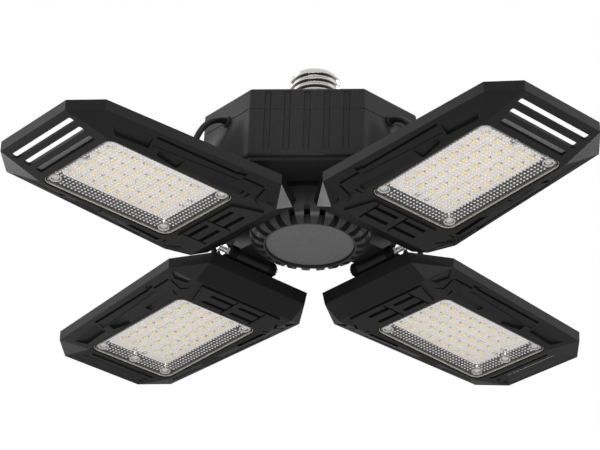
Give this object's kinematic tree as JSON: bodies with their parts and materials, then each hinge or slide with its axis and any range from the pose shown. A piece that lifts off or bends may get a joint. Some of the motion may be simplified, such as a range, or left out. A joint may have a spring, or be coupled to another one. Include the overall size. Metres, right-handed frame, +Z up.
{
  "type": "folding panel ceiling light",
  "caption": "Screw-in ceiling light with a driver housing over a slotted hub and flat LED panels that tilt on bolted hinges.",
  "frame": {"origin": "centre of the screw base's plain skirt at its lower end, where it meets the neck", "axes": "+Z up along the lamp's axis, out of the screw base; +X to the right and +Y away in the picture; the panels point along the diagonals, numbered counter-clockwise seen from above from the one between +X and +Y"},
  "size_m": [0.274, 0.2738, 0.1185],
  "materials": {
    "plated_steel": "bright nickel plating",
    "insulator": "pale moulded insulator",
    "contact_metal": "bright",
    "black_plastic": "satin, finely textured",
    "black_rubber": "matt",
    "circuit_board": "board with mounted components",
    "black_screws": "black oxide",
    "clear_lens": "clear sheet moulded with a fine cell pattern",
    "silicone": "tan silicone",
    "white_board": "white solder mask on aluminium",
    "led_phosphor": "warm yellow phosphor, unlit",
    "bare_aluminium": "bare die casting",
    "steel_fasteners": "zinc plated",
    "black_steel": "black powder coat"
  },
  "bodies": {
    "lamp_body": {"screw_shell": "plated_steel", "base_insulator": "insulator", "centre_contact": "contact_metal", "housing_cover": "black_plastic", "housing_case": "black_plastic", "housing_base": "black_plastic", "driver_board": "circuit_board", "hub": "black_plastic", "hub_cap": "black_plastic", "lead_grommets": "black_rubber", "housing_screws": "black_screws", "lead_1": "black_rubber", "lead_2": "black_rubber", "lead_3": "black_rubber", "lead_4": "black_rubber"},
    "panel_1": {"panel_frame_1": "black_plastic", "lens_1": "clear_lens", "gasket_1": "silicone", "led_board_1": "white_board", "leds_1": "led_phosphor", "heat_sink_1": "bare_aluminium", "panel_screws_1": "steel_fasteners", "hinge_bracket_1": "black_steel", "hinge_bolt_1": "steel_fasteners", "hinge_nut_1": "steel_fasteners", "lead_gland_1": "black_plastic"},
    "panel_2": {"panel_frame_2": "black_plastic", "lens_2": "clear_lens", "gasket_2": "silicone", "led_board_2": "white_board", "leds_2": "led_phosphor", "heat_sink_2": "bare_aluminium", "panel_screws_2": "steel_fasteners", "hinge_bracket_2": "black_steel", "hinge_bolt_2": "steel_fasteners", "hinge_nut_2": "steel_fasteners", "lead_gland_2": "black_plastic"},
    "panel_3": {"panel_frame_3": "black_plastic", "lens_3": "clear_lens", "gasket_3": "silicone", "led_board_3": "white_board", "leds_3": "led_phosphor", "heat_sink_3": "bare_aluminium", "panel_screws_3": "steel_fasteners", "hinge_bracket_3": "black_steel", "hinge_bolt_3": "steel_fasteners", "hinge_nut_3": "steel_fasteners", "lead_gland_3": "black_plastic"},
    "panel_4": {"panel_frame_4": "black_plastic", "lens_4": "clear_lens", "gasket_4": "silicone", "led_board_4": "white_board", "leds_4": "led_phosphor", "heat_sink_4": "bare_aluminium", "panel_screws_4": "steel_fasteners", "hinge_bracket_4": "black_steel", "hinge_bolt_4": "steel_fasteners", "hinge_nut_4": "steel_fasteners", "lead_gland_4": "black_plastic"}
  },
  "joints": [
    {"name": "panel_1_tilt", "type": "hinge", "parent": "lamp_body", "child": "panel_1", "pos_m": [0.02772, 0.02772, -0.0732], "axis": [0.7071, -0.7071, 0], "range_deg": [-38, 17], "deforming": ["lead_1"]},
    {"name": "panel_2_tilt", "type": "hinge", "parent": "lamp_body", "child": "panel_2", "pos_m": [-0.02772, 0.02772, -0.0732], "axis": [0.7071, 0.7071, 0], "range_deg": [-38, 17], "deforming": ["lead_2"]},
    {"name": "panel_3_tilt", "type": "hinge", "parent": "lamp_body", "child": "panel_3", "pos_m": [-0.02772, -0.02772, -0.0732], "axis": [-0.7071, 0.7071, 0], "range_deg": [-40, 15], "deforming": ["lead_3"]},
    {"name": "panel_4_tilt", "type": "hinge", "parent": "lamp_body", "child": "panel_4", "pos_m": [0.02772, -0.02772, -0.0732], "axis": [-0.7071, -0.7071, 0], "range_deg": [-44, 11], "deforming": ["lead_4"]}
  ]
}
